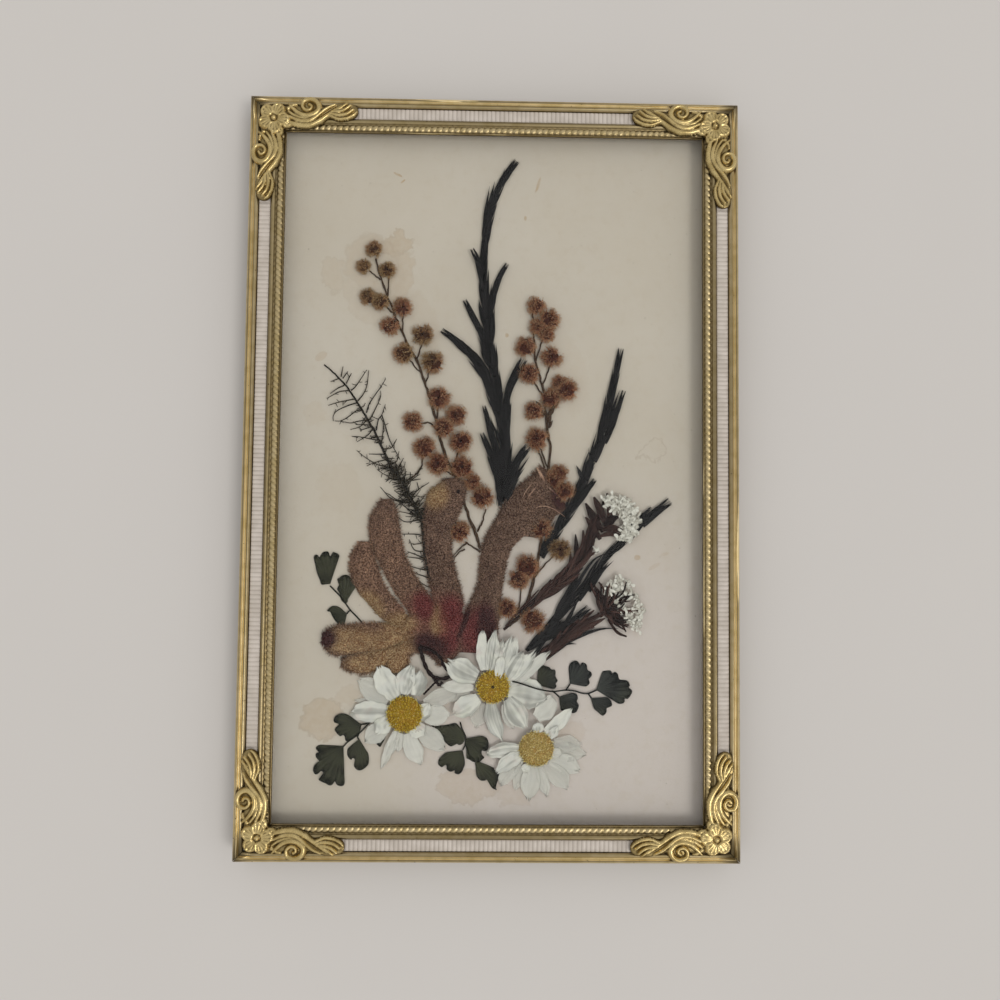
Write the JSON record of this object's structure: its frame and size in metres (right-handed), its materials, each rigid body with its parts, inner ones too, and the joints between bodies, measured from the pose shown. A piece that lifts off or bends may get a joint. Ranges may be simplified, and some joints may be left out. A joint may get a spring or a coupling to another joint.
{
  "type": "pressed flower frame",
  "caption": "Small stamped-brass picture frame holding pressed daisies, wattle, kangaroo paw, fern and dark leafy sprigs on an ivory card under glass.",
  "frame": {"origin": "middle of the back, on the plane that the back rim rests on", "axes": "X to the right of the picture, Y to its top, Z out of its face"},
  "size_m": [0.142, 0.218, 0.0117],
  "materials": {
    "brass": "lacquered, softly worn, tarnish in the grooves",
    "ribbed_strip": "satin, fine cross ribs",
    "glass": "clear",
    "card": "matt, foxed and stained",
    "board": "matt",
    "fittings": "plain",
    "petals": "papery, translucent",
    "daisy_discs": "granular",
    "kangaroo_paw": "felted hairs",
    "wattle": "fuzzy",
    "dark_leaves": "dry, slightly waxy",
    "feather_leaves": "dry",
    "bracts": "dry",
    "white_florets": "papery",
    "fern": "dry"
  },
  "bodies": {
    "root": {"backing_board": "board", "corner_bottom_left": "brass", "corner_bottom_right": "brass", "corner_top_left": "brass", "corner_top_right": "brass", "daisy_left_centre": "daisy_discs", "daisy_left_petals": "petals", "daisy_middle_centre": "daisy_discs", "daisy_middle_petals": "petals", "daisy_right_centre": "daisy_discs", "daisy_right_petals": "petals", "dark_sprig_lower": "dark_leaves", "dark_sprig_middle": "dark_leaves", "dark_sprig_right": "dark_leaves", "feather_sprig": "feather_leaves", "fern_lower_left": "fern", "fern_middle": "fern", "fern_right": "fern", "fern_upper_left": "fern", "glass_pane": "glass", "hanger_rivet_left": "fittings", "hanger_rivet_right": "fittings", "mount_card": "card", "paw_finger_1": "kangaroo_paw", "paw_finger_2": "kangaroo_paw", "paw_finger_3": "kangaroo_paw", "paw_finger_4": "kangaroo_paw", "paw_finger_5": "kangaroo_paw", "paw_finger_6": "kangaroo_paw", "paw_finger_7": "kangaroo_paw", "paw_stalk": "kangaroo_paw", "rail_bottom": "brass", "rail_left": "brass", "rail_right": "brass", "rail_top": "brass", "sawtooth_hanger": "fittings", "strip_bottom": "ribbed_strip", "strip_left": "ribbed_strip", "strip_right": "ribbed_strip", "strip_top": "ribbed_strip", "tab_bottom": "fittings", "tab_left_lower": "fittings", "tab_left_upper": "fittings", "tab_right_lower": "fittings", "tab_right_upper": "fittings", "tab_top": "fittings", "wattle_left": "wattle", "wattle_right": "wattle", "white_florets_lower": "white_florets", "white_florets_upper": "white_florets", "white_sprig_lower": "bracts", "white_sprig_upper": "bracts"}
  },
  "joints": []
}
